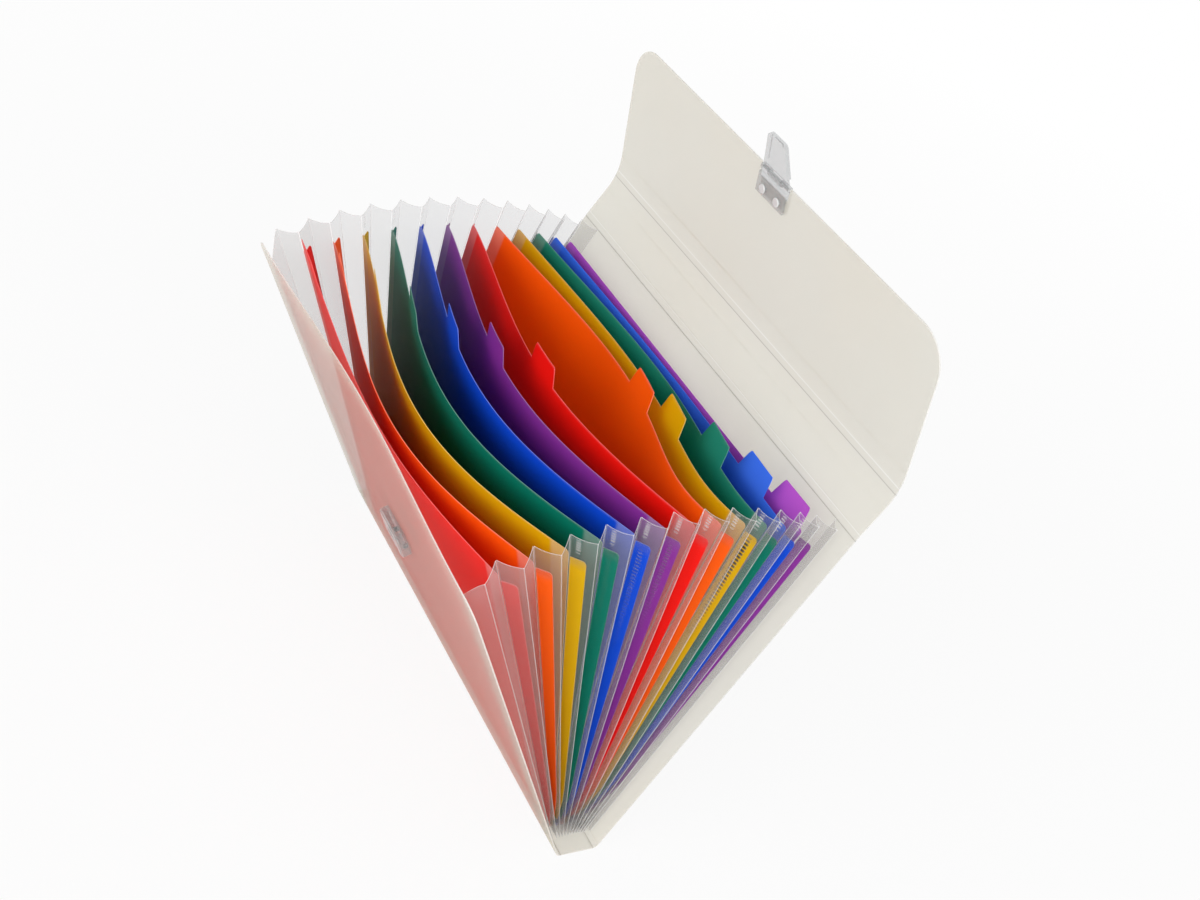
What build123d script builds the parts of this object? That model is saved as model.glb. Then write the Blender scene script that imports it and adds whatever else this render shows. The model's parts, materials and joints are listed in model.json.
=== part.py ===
"""Expanding file: a translucent wrap-round cover with thirteen pockets, fanned open.

The frame has +Z up, X across the width and Y from the front cover to the back cover.
The origin is the middle of the underside of the bottom strip that the file stands on.
"""

from build123d import *
import os
from math import cos, hypot, radians, sin, tan

os.makedirs("parts", exist_ok=True)

# Cover sheet, in millimetres
sheet_width = 330.0
cover_thickness = 0.8
front_height = 238.0
back_height = 246.0
top_strip_depth = 34.0
flap_length = 96.0
front_corner_radius = 12.0
flap_corner_radius = 22.0
fold_clearance = 0.3
crease_half_gap = 0.45

# Stack of leaves along the bottom strip
divider_count = 12
first_gap = 3.0
leaf_pitch = 1.5
last_gap = 6.5

# Fan at rest, in degrees from upright
front_lean_angle = 28.0
wide_pocket_angle = 4.3
narrow_pocket_angle = 2.3
strip_bend_angle = 4.0
flap_bend_angle = 35.0

# Dividers with their tabs and weld flanges
divider_thickness = 0.4
divider_height = 231.5
divider_corner_radius = 2.0
tab_width = 30.0
tab_height = 12.0
tab_slope = 2.5
tab_corner_radius = 3.0
tab_side_margin = 2.5
flange_bottom = 30.0
flange_drop = 3.5
flange_share = 0.55
flange_spans = 6

# Pleated side film
film_thickness = 0.25
film_bottom = 5.0
film_rise = 12.5
ridge_wall = 1.0
pleat_depth = 10.8
ridge_inset = 8.0
fold_room = 1.0
film_clearance = 0.12

# Catch on the front cover
catch_width = 28.0
catch_height = 20.0
catch_depth = 6.0
catch_corner_radius = 3.0
catch_edge_bevel = 1.0
catch_slot_width = 23.0
catch_slot_depth = 14.0
catch_slot_gap = 3.2
catch_floor = 1.4
catch_window_clearance = 0.8

# Clip at the edge of the flap
clip_width = 28.0
clip_grip = 9.0
clip_plate = 1.8
clip_grip_gap = 0.1
clip_side_gap = 1.5
clip_edge_radius = 0.8
notch_depth = 8.5
hinge_setback = 1.7
knuckle_radius = 2.2
knuckle_length = 13.0
knuckle_gap = 0.3
pin_radius = 0.8
pin_clearance = 0.1

# Lever of the clip
lever_tilt = 12.0
lever_length = 26.0
lever_root_width = 26.0
lever_tip_width = 17.0
lever_tip_radius = 3.0
lever_tip_room = 1.0
lever_thickness = 1.6
lever_rim_width = 1.4
lever_rim_height = 1.0
lever_rim_start = 6.0
hook_width = 8.0
hook_length = 2.0
hook_height = 1.0
hook_setback = 3.0

# Rivets of the catch and the clip
rivet_radius = 1.5
rivet_clearance = 0.1
rivet_head_radius = 2.8
rivet_head_thickness = 0.7
rivet_head_bevel = 0.3
rivet_spacing = 15.0
rivet_bite = 2.5

# Places worked out from the sizes above
bottom_depth = first_gap + (divider_count - 1) * leaf_pitch + last_gap
cover_hinge_z = cover_thickness / 2
divider_hinge_z = cover_thickness + fold_clearance + divider_thickness / 2
ridge_x = sheet_width / 2 - ridge_inset
fold_x = ridge_x - pleat_depth
divider_half_width = fold_x - fold_room
flange_top = divider_height - flange_drop
film_top = divider_height + film_rise
tab_pitch = (2 * (divider_half_width - tab_side_margin) - tab_width) / (divider_count - 1)
pocket_count = divider_count + 1
last_leaf = divider_count + 1


def hinge_of(leaf):
    """The fold line of a leaf as (y, z): leaf 0 is the front cover, the last is the back cover."""
    if leaf == 0:
        return -bottom_depth / 2, cover_hinge_z
    if leaf == last_leaf:
        return bottom_depth / 2, cover_hinge_z
    return -bottom_depth / 2 + first_gap + (leaf - 1) * leaf_pitch, divider_hinge_z


def pocket_angle(pocket):
    """How far a pocket is open: wide at the front, narrowing with the cube of its place."""
    place = (pocket - 1) / (pocket_count - 1)
    return wide_pocket_angle - (wide_pocket_angle - narrow_pocket_angle) * place**3


def lean_of(leaf):
    """The lean of a leaf from upright: negative to the front, positive to the back."""
    return -front_lean_angle + sum(pocket_angle(pocket) for pocket in range(1, leaf + 1))


def upright_plane(y, z, lean):
    """A plane with x across the file, y up the leaning sheet and z out of its front face."""
    turn = radians(lean)
    return Plane(origin=(0, y, z), x_dir=(1, 0, 0), z_dir=(0, -cos(turn), sin(turn)))


def across_plane(plane, height):
    """A plane square to a leaning one at a height: x across the file, y to the back."""
    level = plane.from_local_coords(Vector(0, height, 0))
    return Plane(origin=level, x_dir=plane.x_dir, z_dir=plane.y_dir)


def side_plane(plane):
    """A plane square to the width: x up a leaning sheet, y out of its front face."""
    return Plane(origin=plane.origin, x_dir=plane.y_dir, z_dir=plane.x_dir)


def leaf_plane(leaf):
    """The middle plane of a leaf, with its origin on the leaf's fold line."""
    y, z = hinge_of(leaf)
    return upright_plane(y, z, lean_of(leaf))


def pocket_lean(pocket):
    """The lean half way between a pocket's two leaves."""
    return (lean_of(pocket - 1) + lean_of(pocket)) / 2


def pocket_plane(pocket):
    """The plane half way between a pocket's two leaves."""
    front_y, front_z = hinge_of(pocket - 1)
    back_y, back_z = hinge_of(pocket)
    return upright_plane((front_y + back_y) / 2, (front_z + back_z) / 2, pocket_lean(pocket))


def leaf_offset(pocket, leaf, height):
    """How far behind a pocket's middle plane a leaf's own middle stands at a height."""
    y, z = hinge_of(leaf)
    hinge = pocket_plane(pocket).to_local_coords(Vector(0, y, z))
    turn = radians(lean_of(leaf) - pocket_lean(pocket))
    return -hinge.Z + (height - hinge.Y) * tan(turn)


def film_gap(leaf):
    """How far the film keeps from a leaf's middle: it lies against the face of a cover."""
    if leaf in (0, last_leaf):
        return cover_thickness / 2 + film_clearance
    return film_clearance


def film_edges(pocket, height):
    """The film's front edge, back edge and its thickness from front to back at a height."""
    front = leaf_offset(pocket, pocket - 1, height) + film_gap(pocket - 1)
    back = leaf_offset(pocket, pocket, height) - film_gap(pocket)
    slant = hypot(pleat_depth, (back - front) / 2) / pleat_depth
    return front, back, film_thickness * slant


def film_section(pocket, side, height):
    """The film across a pleat: out from the front leaf to the ridge and back in to the next."""
    front, back, thickness = film_edges(pocket, height)
    ridge = (front + back) / 2
    return (
        (side * fold_x, front),
        (side * ridge_x, ridge),
        (side * fold_x, back),
        (side * fold_x, back - thickness),
        (side * (ridge_x - ridge_wall), ridge),
        (side * fold_x, front + thickness),
    )


def flange_section(divider, side, height):
    """A divider's weld flange: it steps behind the film and follows the front panel outward."""
    pocket = divider + 1
    front, back, thickness = film_edges(pocket, height)
    half = divider_thickness / 2
    root = leaf_offset(pocket, divider, height)
    bend = front + thickness + film_clearance + half
    run = flange_share * pleat_depth
    slope = ((back - front) / 2 - thickness) / (pleat_depth - ridge_wall)
    tip = bend + run * slope
    root_x = divider_half_width - divider_thickness
    return (
        (side * root_x, root - half),
        (side * fold_x, bend - half),
        (side * (fold_x + run), tip - half),
        (side * (fold_x + run), tip + half),
        (side * fold_x, bend + half),
        (side * root_x, root + half),
    )


def flange_heights():
    """Heights of the sections along a weld flange, evenly spaced."""
    span = (flange_top - flange_bottom) / flange_spans
    return [flange_bottom + step * span for step in range(flange_spans + 1)]


def ring(pocket, height, section):
    """The points of a section across a pocket, in space."""
    plane = across_plane(pocket_plane(pocket), height)
    return [plane.from_local_coords(Vector(x, y, 0)) for x, y in section]


def faceted(rings):
    """A solid of flat facets through rings of points, as film creases where it twists.

    Each strip between two rings is cut in two, from the fold on the upper ring to the ridge on the lower one.
    """
    facets = [rings[0], rings[-1]]
    for lower, upper in zip(rings, rings[1:]):
        for near, far in zip(range(len(lower)), [*range(1, len(lower)), 0]):
            if abs(lower[near].X) < abs(lower[far].X):
                facets.append((lower[near], lower[far], upper[near]))
                facets.append((lower[far], upper[far], upper[near]))
            else:
                facets.append((lower[near], lower[far], upper[far]))
                facets.append((lower[near], upper[far], upper[near]))
    return Solid(Shell([Face(Wire.make_polygon(facet)) for facet in facets]))


def lever_outline():
    """Draw the lever's tapered plate in the open sketch, with its tip's corners rounded."""
    Polygon(
        (-lever_root_width / 2, lever_root),
        (lever_root_width / 2, lever_root),
        (lever_tip_width / 2, lever_length),
        (-lever_tip_width / 2, lever_length),
    )
    fillet(vertices().group_by(Axis.Y)[-1], radius=lever_tip_radius)


def write(piece, name):
    """Label a finished piece and write it under its own name."""
    piece.part.label = name
    export_step(piece.part, f"parts/{name}.step")


# Planes of the covers, the top strip, the flap and the lever
front_plane = leaf_plane(0)
front_axis = Axis(front_plane.origin, front_plane.z_dir)
back_plane = leaf_plane(last_leaf)
strip_lean = lean_of(last_leaf) + strip_bend_angle
strip_origin = back_plane.from_local_coords(Vector(0, back_height, 0))
strip_plane = upright_plane(strip_origin.Y, strip_origin.Z, strip_lean)
flap_lean = strip_lean - flap_bend_angle
flap_origin = strip_plane.from_local_coords(Vector(0, top_strip_depth, 0))
flap_plane = upright_plane(flap_origin.Y, flap_origin.Z, flap_lean)
flap_axis = Axis(flap_plane.origin, flap_plane.z_dir)
lever_hinge = flap_length - hinge_setback
lever_origin = flap_plane.from_local_coords(Vector(0, lever_hinge, 0))
lever_plane = upright_plane(lever_origin.Y, lever_origin.Z, flap_lean - lever_tilt)

# Heights on the front cover and the flap where the clip and its catch meet
lever_root = knuckle_radius + knuckle_gap
catch_top = back_height - lever_hinge - lever_length - lever_tip_room + catch_slot_depth
catch_middle = catch_top - catch_height / 2
catch_rivet_height = catch_top - (catch_slot_depth + catch_height) / 2
hook_place = lever_length - hook_setback
window_height = back_height - lever_hinge - hook_place
notch_floor = flap_length - notch_depth
grip_start = notch_floor - clip_grip
grip_middle = notch_floor - clip_grip / 2
grip_half = cover_thickness / 2 + clip_grip_gap
clip_half = grip_half + clip_plate
clip_end = lever_hinge - lever_root


# Bottom strip of the cover, which the file stands on
with BuildPart() as bottom_strip:
    with BuildSketch(Plane.XY):
        Rectangle(sheet_width, bottom_depth - cover_thickness - 2 * fold_clearance)
    extrude(amount=cover_thickness)
write(bottom_strip, "bottom_strip")


# Front cover with rounded top corners and the holes for the catch
with BuildPart() as front_cover:
    with BuildSketch(front_plane):
        Rectangle(sheet_width, front_height, align=(Align.CENTER, Align.MIN))
        fillet(vertices().group_by(Axis.Y)[-1], radius=front_corner_radius)
        with Locations((0, catch_rivet_height)):
            with GridLocations(rivet_spacing, rivet_spacing, 2, 1):
                Circle(rivet_radius + rivet_clearance, mode=Mode.SUBTRACT)
    extrude(amount=cover_thickness / 2, both=True)
write(front_cover, "front_cover")


# Back cover, up to the first crease of the flap
with BuildPart() as back_cover:
    with BuildSketch(back_plane):
        Rectangle(sheet_width, back_height - crease_half_gap, align=(Align.CENTER, Align.MIN))
    extrude(amount=cover_thickness / 2, both=True)
write(back_cover, "back_cover")


# Top strip between the two creases of the flap
with BuildPart() as top_strip:
    with BuildSketch(strip_plane):
        with Locations((0, top_strip_depth / 2)):
            Rectangle(sheet_width, top_strip_depth - 2 * crease_half_gap)
    extrude(amount=cover_thickness / 2, both=True)
write(top_strip, "top_strip")


# Flap with round outer corners, a notch for the clip and the holes for its rivets
with BuildPart() as flap:
    with BuildSketch(flap_plane):
        with Locations((0, (crease_half_gap + flap_length) / 2)):
            Rectangle(sheet_width, flap_length - crease_half_gap)
        fillet(vertices().group_by(Axis.Y)[-1], radius=flap_corner_radius)
        with Locations((0, flap_length)):
            Rectangle(clip_width + 2 * clip_side_gap, 2 * notch_depth, mode=Mode.SUBTRACT)
        fillet(vertices().filter_by(lambda v: abs(v.X) < clip_width), radius=clip_side_gap)
        with Locations((0, grip_middle)):
            with GridLocations(rivet_spacing, rivet_spacing, 2, 1):
                Circle(rivet_radius + rivet_clearance, mode=Mode.SUBTRACT)
    extrude(amount=cover_thickness / 2, both=True)
write(flap, "flap")


# Dividers: a plate with its index tab, and a flange at each end welded inside the next pleat
for divider in range(1, divider_count + 1):
    tab_x = (divider - (divider_count + 1) / 2) * tab_pitch
    with BuildPart() as plate:
        with BuildSketch(leaf_plane(divider)):
            Rectangle(2 * divider_half_width, divider_height, align=(Align.CENTER, Align.MIN))
            fillet(vertices().group_by(Axis.Y)[-1], radius=divider_corner_radius)
            Polygon(
                (tab_x - tab_width / 2, divider_height - tab_height),
                (tab_x + tab_width / 2, divider_height - tab_height),
                (tab_x + tab_width / 2, divider_height),
                (tab_x + tab_width / 2 - tab_slope, divider_height + tab_height),
                (tab_x - tab_width / 2 + tab_slope, divider_height + tab_height),
                (tab_x - tab_width / 2, divider_height),
            )
            fillet(vertices().group_by(Axis.Y)[-1], radius=tab_corner_radius)
        extrude(amount=divider_thickness / 2, both=True)
        for side in (-1, 1):
            rings = [ring(divider + 1, h, flange_section(divider, side, h)) for h in flange_heights()]
            add(faceted(rings))
    write(plate, f"divider_{divider:02d}")


# Pleats of the side film, one for each pocket at each end
for pocket in range(1, pocket_count + 1):
    for side, end in ((-1, "left"), (1, "right")):
        with BuildPart() as pleat:
            heights = [film_bottom, *flange_heights(), film_top]
            add(faceted([ring(pocket, h, film_section(pocket, side, h)) for h in heights]))
        write(pleat, f"{end}_pleat_{pocket:02d}")


# Catch: a moulded pocket on the front cover, open at the top for the lever
with BuildPart() as catch:
    with BuildSketch(front_plane.offset(cover_thickness / 2)):
        with Locations((0, catch_middle)):
            RectangleRounded(catch_width, catch_height, catch_corner_radius)
    extrude(amount=catch_depth)
    chamfer(faces().sort_by(front_axis)[-1].edges(), length=catch_edge_bevel)
    with BuildSketch(front_plane.offset(cover_thickness / 2 + catch_floor)):
        with Locations((0, catch_top)):
            Rectangle(catch_slot_width, 2 * catch_slot_depth)
    extrude(amount=catch_slot_gap, mode=Mode.SUBTRACT)
    with BuildSketch(front_plane.offset(cover_thickness / 2 + catch_floor)):
        with Locations((0, window_height)):
            Rectangle(hook_width + 2 * catch_window_clearance, hook_length + 2 * catch_window_clearance)
    extrude(amount=catch_depth, mode=Mode.SUBTRACT)
    with BuildSketch(front_plane.offset(cover_thickness / 2)):
        with Locations((0, catch_rivet_height)):
            with GridLocations(rivet_spacing, rivet_spacing, 2, 1):
                Circle(rivet_radius + rivet_clearance)
    extrude(amount=rivet_bite + rivet_clearance, mode=Mode.SUBTRACT)
write(catch, "catch")


# Two rivets that hold the catch, with their heads inside the front cover
with BuildPart() as catch_rivets:
    with BuildSketch(front_plane.offset(-cover_thickness / 2)):
        with Locations((0, catch_rivet_height)):
            with GridLocations(rivet_spacing, rivet_spacing, 2, 1):
                Circle(rivet_head_radius)
    extrude(amount=-rivet_head_thickness)
    chamfer(faces().group_by(front_axis)[0].edges(), length=rivet_head_bevel)
    with BuildSketch(front_plane.offset(-cover_thickness / 2)):
        with Locations((0, catch_rivet_height)):
            with GridLocations(rivet_spacing, rivet_spacing, 2, 1):
                Circle(rivet_radius)
    extrude(amount=cover_thickness + rivet_bite)
write(catch_rivets, "catch_rivets")


# Clip base: it grips the flap in the notch and carries the two outer knuckles
with BuildPart() as clip_base:
    with BuildSketch(side_plane(flap_plane)):
        with Locations(((grip_start + clip_end) / 2, 0)):
            RectangleRounded(clip_end - grip_start, 2 * clip_half, clip_edge_radius)
        with Locations((grip_start, 0)):
            Rectangle(2 * (clip_grip + clip_grip_gap), 2 * grip_half, mode=Mode.SUBTRACT)
    extrude(amount=clip_width / 2, both=True)
    with BuildSketch(side_plane(flap_plane)):
        with Locations((lever_hinge, 0)):
            Circle(knuckle_radius)
        with Locations((lever_hinge - lever_root, 0)):
            Rectangle(2 * lever_root, knuckle_radius)
    extrude(amount=clip_width / 2, both=True)
    with BuildSketch(side_plane(flap_plane)):
        with Locations((lever_hinge, 0)):
            Rectangle(2 * lever_root, 2 * clip_half)
    extrude(amount=knuckle_length / 2 + knuckle_gap, both=True, mode=Mode.SUBTRACT)
    with BuildSketch(side_plane(flap_plane)):
        with Locations((lever_hinge, 0)):
            Circle(pin_radius + pin_clearance)
    extrude(amount=clip_width / 2, both=True, mode=Mode.SUBTRACT)
    with BuildSketch(flap_plane):
        with Locations((0, grip_middle)):
            with GridLocations(rivet_spacing, rivet_spacing, 2, 1):
                Circle(rivet_radius + rivet_clearance)
    extrude(amount=clip_half, both=True, mode=Mode.SUBTRACT)
write(clip_base, "clip_base")


# Two rivets that hold the clip, headed on both of its faces
with BuildPart() as clip_rivets:
    for face in (-1, 1):
        with BuildSketch(flap_plane.offset(face * clip_half)):
            with Locations((0, grip_middle)):
                with GridLocations(rivet_spacing, rivet_spacing, 2, 1):
                    Circle(rivet_head_radius)
        extrude(amount=face * rivet_head_thickness)
    head_rims = edges().filter_by(GeomType.CIRCLE).group_by(flap_axis)
    chamfer(head_rims[0] + head_rims[-1], length=rivet_head_bevel)
    with BuildSketch(flap_plane):
        with Locations((0, grip_middle)):
            with GridLocations(rivet_spacing, rivet_spacing, 2, 1):
                Circle(rivet_radius)
    extrude(amount=clip_half, both=True)
write(clip_rivets, "clip_rivets")


# Hinge pin of the lever
with BuildPart() as clip_pin:
    with BuildSketch(side_plane(lever_plane)):
        Circle(pin_radius)
    extrude(amount=clip_width / 2, both=True)
write(clip_pin, "clip_pin")


# Lever: a tapered plate with a rim, a middle knuckle and a hook for the catch
with BuildPart() as clip_lever:
    with BuildSketch(lever_plane):
        lever_outline()
    extrude(amount=lever_thickness / 2, both=True)
    with BuildSketch(lever_plane.offset(-lever_thickness / 2)):
        lever_outline()
        offset(amount=-lever_rim_width, mode=Mode.SUBTRACT)
        Rectangle(lever_root_width, 2 * lever_rim_start, mode=Mode.SUBTRACT)
    extrude(amount=-lever_rim_height)
    with BuildSketch(lever_plane.offset(-lever_thickness / 2)):
        with Locations((0, hook_place)):
            Rectangle(hook_width, hook_length)
    extrude(amount=-hook_height)
    with BuildSketch(side_plane(lever_plane)):
        Circle(knuckle_radius)
        with Locations((lever_root, 0)):
            Rectangle(2 * lever_root, lever_thickness)
        Circle(pin_radius + pin_clearance, mode=Mode.SUBTRACT)
    extrude(amount=knuckle_length / 2, both=True)
write(clip_lever, "clip_lever")
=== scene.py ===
"""Looks of an expanding file: a translucent cover, twelve coloured dividers and pleated side film.

Every sheet is a surface on a grid, given its thickness and closed along its edges. The leaves' fold lines
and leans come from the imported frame, in metres, with +Z up, X across the file and Y from front to back.
"""

import json
import math

import bpy
import numpy as np
from mathutils import Matrix, Vector

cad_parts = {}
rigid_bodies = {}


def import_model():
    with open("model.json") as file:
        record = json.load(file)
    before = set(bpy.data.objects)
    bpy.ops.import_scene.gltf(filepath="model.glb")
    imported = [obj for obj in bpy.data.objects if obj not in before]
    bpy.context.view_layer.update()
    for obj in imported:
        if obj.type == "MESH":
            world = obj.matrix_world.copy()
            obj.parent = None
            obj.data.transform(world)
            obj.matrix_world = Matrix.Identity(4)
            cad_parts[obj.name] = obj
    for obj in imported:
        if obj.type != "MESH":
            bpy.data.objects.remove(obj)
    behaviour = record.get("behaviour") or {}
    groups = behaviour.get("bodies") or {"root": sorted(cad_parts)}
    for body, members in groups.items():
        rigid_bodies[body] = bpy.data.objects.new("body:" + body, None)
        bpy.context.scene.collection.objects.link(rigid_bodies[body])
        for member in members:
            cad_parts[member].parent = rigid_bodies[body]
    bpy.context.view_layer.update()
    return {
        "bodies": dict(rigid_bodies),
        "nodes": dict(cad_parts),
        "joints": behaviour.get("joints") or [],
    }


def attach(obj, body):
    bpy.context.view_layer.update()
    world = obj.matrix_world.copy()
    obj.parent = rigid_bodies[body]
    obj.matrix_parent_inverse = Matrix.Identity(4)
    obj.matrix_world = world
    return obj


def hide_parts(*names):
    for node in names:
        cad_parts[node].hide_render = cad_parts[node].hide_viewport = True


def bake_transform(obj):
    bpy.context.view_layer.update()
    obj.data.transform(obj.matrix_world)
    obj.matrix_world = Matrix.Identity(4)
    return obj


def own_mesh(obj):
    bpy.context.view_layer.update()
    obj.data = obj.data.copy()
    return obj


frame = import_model()

bl_info = {
    "name": "Expanding file",
    "version": (1, 0, 0),
    "blender": (4, 5, 0),
    "location": "View3D > Sidebar > Expanding file",
    "description": "Builds the sheets, the side film and the finishes of an expanding file",
    "category": "Object",
}

JOINTS = {joint["name"]: joint for joint in frame["joints"]}
DIVIDERS = sorted(name for name in frame["bodies"] if name.startswith("divider_"))
LEAVES = ["front_cover", *DIVIDERS, "back_cover"]
SHEET_COLOURS = ("red", "orange", "amber", "green", "blue", "purple")
ACROSS = np.array((1.0, 0.0, 0.0))
SHARP_ANGLE = math.radians(40.0)
WHITE = (1.0, 1.0, 1.0, 1.0)

# Heights between which the dividers' weld flanges lie in their pleats
FLANGE_LOW = 0.012
FLANGE_HIGH = 0.228


def linear(red, green, blue):
    """A colour written as it looks on a screen, 0 to 255, turned to linear light by the standard curve."""
    share = np.array((red, green, blue)) / 255.0
    light = np.where(share <= 0.04045, share / 12.92, ((share + 0.055) / 1.055) ** 2.4)
    return tuple(float(value) for value in light)


def node_points(node):
    """The corner points of a node's solid, one row each."""
    mesh = frame["nodes"][node].data
    points = np.empty(len(mesh.vertices) * 3, np.float32)
    mesh.vertices.foreach_get("co", points)
    return points.reshape(-1, 3).astype(float)


def reach(node, origin, direction):
    """How far a node's solid goes from a point along a direction."""
    return float(((node_points(node) - origin) @ direction).max())


def leaf_frame(body):
    """A leaf's fold line at mid width, its direction up the sheet and its direction to the back.

    The leaf stands upright at the far end of its fold's range, so that limit is its lean at rest.
    """
    joint = JOINTS[f"{body}_fold"]
    lean = math.radians(max(joint["range_deg"], key=abs))
    up = np.array((0.0, math.sin(lean), math.cos(lean)))
    back = np.array((0.0, math.cos(lean), -math.sin(lean)))
    return np.array(joint["pos_m"]), up, back


def panel_frame(start, end):
    """The same for a panel that runs from one joint's axis towards the next one's."""
    origin = np.array(JOINTS[start]["pos_m"])
    up = np.array(JOINTS[end]["pos_m"]) - origin
    up /= np.linalg.norm(up)
    return origin, up, np.array((0.0, up[2], -up[1]))


class ExpandingFileSizes(bpy.types.PropertyGroup):
    """Sizes of the sheets that a user may change."""

    cover_thickness: bpy.props.FloatProperty(
        name="Cover thickness", description="Thickness of the cover sheet", default=0.0008, unit="LENGTH"
    )
    front_corner: bpy.props.FloatProperty(
        name="Front corner", description="Radius of the front cover's corners", default=0.012, unit="LENGTH"
    )
    flap_corner: bpy.props.FloatProperty(
        name="Flap corner", description="Radius of the flap's corners", default=0.022, unit="LENGTH"
    )
    fold_band: bpy.props.FloatProperty(
        name="Fold band", description="Length of sheet that bends at a fold", default=0.0044, unit="LENGTH"
    )
    bend_band: bpy.props.FloatProperty(
        name="Bend band", description="Length of sheet that bends at the flap", default=0.026, unit="LENGTH"
    )
    score_gap: bpy.props.FloatProperty(
        name="Score gap",
        description="Distance between a crease's two scored lines",
        default=0.0042,
        unit="LENGTH",
    )
    front_sag: bpy.props.FloatProperty(
        name="Front sag", description="How far the front cover's edge sags in", default=0.0048, unit="LENGTH"
    )
    notch_width: bpy.props.FloatProperty(
        name="Notch width",
        description="Width of the flap's notch for the clip",
        default=0.031,
        unit="LENGTH",
    )
    notch_depth: bpy.props.FloatProperty(
        name="Notch depth",
        description="Depth of the flap's notch for the clip",
        default=0.0085,
        unit="LENGTH",
    )
    divider_thickness: bpy.props.FloatProperty(
        name="Divider thickness", description="Thickness of a divider", default=0.0004, unit="LENGTH"
    )
    tab_width: bpy.props.FloatProperty(
        name="Tab width", description="Width of an index tab at its foot", default=0.030, unit="LENGTH"
    )
    tab_height: bpy.props.FloatProperty(
        name="Tab height", description="Height of an index tab", default=0.012, unit="LENGTH"
    )
    tab_slope: bpy.props.FloatProperty(
        name="Tab slope", description="How far a tab's side leans in", default=0.0025, unit="LENGTH"
    )
    tab_margin: bpy.props.FloatProperty(
        name="Tab margin", description="Room beside the outermost tabs", default=0.0025, unit="LENGTH"
    )
    film_thickness: bpy.props.FloatProperty(
        name="Film thickness", description="Thickness of the side film", default=0.00025, unit="LENGTH"
    )
    film_lap: bpy.props.FloatProperty(
        name="Film lap",
        description="Width of film welded over a divider's end",
        default=0.011,
        unit="LENGTH",
    )
    pleat_depth: bpy.props.FloatProperty(
        name="Pleat depth",
        description="How far a pleat stands out from its folds",
        default=0.0108,
        unit="LENGTH",
    )
    flange_share: bpy.props.FloatProperty(
        name="Flange share", description="Share of a pleat's front panel that a flange covers", default=0.64
    )


class ExpandingFileColours(bpy.types.PropertyGroup):
    """Colours of the sheets, the film and the mouldings."""

    cover: bpy.props.FloatVectorProperty(
        name="Cover", description="Frosted cover sheet", subtype="COLOR", default=linear(230, 227, 217)
    )
    film: bpy.props.FloatVectorProperty(
        name="Film", description="Haze of the clear film", subtype="COLOR", default=linear(202, 201, 198)
    )
    moulding: bpy.props.FloatVectorProperty(
        name="Moulding",
        description="Clear plastic of the clip",
        subtype="COLOR",
        default=linear(238, 239, 238),
    )
    red: bpy.props.FloatVectorProperty(
        name="Red", description="Red divider", subtype="COLOR", default=linear(248, 22, 12)
    )
    orange: bpy.props.FloatVectorProperty(
        name="Orange", description="Orange divider", subtype="COLOR", default=linear(255, 104, 6)
    )
    amber: bpy.props.FloatVectorProperty(
        name="Amber", description="Amber divider", subtype="COLOR", default=linear(230, 188, 0)
    )
    green: bpy.props.FloatVectorProperty(
        name="Green", description="Green divider", subtype="COLOR", default=linear(0, 132, 110)
    )
    blue: bpy.props.FloatVectorProperty(
        name="Blue", description="Blue divider", subtype="COLOR", default=linear(10, 84, 226)
    )
    purple: bpy.props.FloatVectorProperty(
        name="Purple", description="Purple divider", subtype="COLOR", default=linear(152, 54, 164)
    )


def add_node(tree, kind, inputs=None, **settings):
    """A shader node with its settings, and its inputs set to values or linked to other sockets."""
    node = tree.nodes.new(kind)
    for name, value in settings.items():
        setattr(node, name, value)
    for name, value in (inputs or {}).items():
        if isinstance(value, bpy.types.NodeSocket):
            tree.links.new(value, node.inputs[name])
        else:
            node.inputs[name].default_value = value
    return node


def new_tree(name):
    """An empty material: its node tree and its output node."""
    material = bpy.data.materials.new(name)
    material.use_nodes = True
    material.node_tree.nodes.clear()
    return material, material.node_tree, add_node(material.node_tree, "ShaderNodeOutputMaterial")


def attribute(tree, name):
    """A value that is stored on the mesh."""
    return add_node(tree, "ShaderNodeAttribute", attribute_name=name).outputs["Fac"]


def combine(tree, operation, first, second):
    """Two values put together by an operation such as MULTIPLY or MAXIMUM."""
    return add_node(tree, "ShaderNodeMath", {0: first, 1: second}, operation=operation).outputs[0]


def map_range(tree, value, low, high, start=0.0, end=1.0, clamp=True):
    """A value between a start and an end, carried to between a low and a high one."""
    ranges = {"Value": value, "From Min": start, "From Max": end, "To Min": low, "To Max": high}
    return add_node(tree, "ShaderNodeMapRange", ranges, clamp=clamp).outputs["Result"]


def mix_colour(tree, share, first, second):
    """The first colour, turned to the second by a share."""
    return add_node(tree, "ShaderNodeMix", {0: share, 6: first, 7: second}, data_type="RGBA").outputs[2]


def mix_shader(tree, share, first, second):
    """The first surface, turned to the second by a share."""
    return add_node(tree, "ShaderNodeMixShader", {0: share, 1: first.outputs[0], 2: second.outputs[0]})


def noise(tree, scale, detail):
    """Soft noise over a piece, between nought and one."""
    place = add_node(tree, "ShaderNodeTexCoord").outputs["Object"]
    inputs = {"Vector": place, "Scale": scale, "Detail": detail}
    return add_node(tree, "ShaderNodeTexNoise", inputs).outputs["Fac"]


def fine_bump(tree, scale, depth):
    """A fine grain over the surface, as deep as the given height."""
    inputs = {"Height": noise(tree, scale, detail=3.0), "Strength": 0.35, "Distance": depth}
    return add_node(tree, "ShaderNodeBump", inputs).outputs["Normal"]


def lifted(colour, gain, lift=0.0):
    """A colour made stronger or weaker by a gain, and paler by a lift."""
    return tuple(min(1.0, value * gain + lift) for value in colour)


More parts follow.
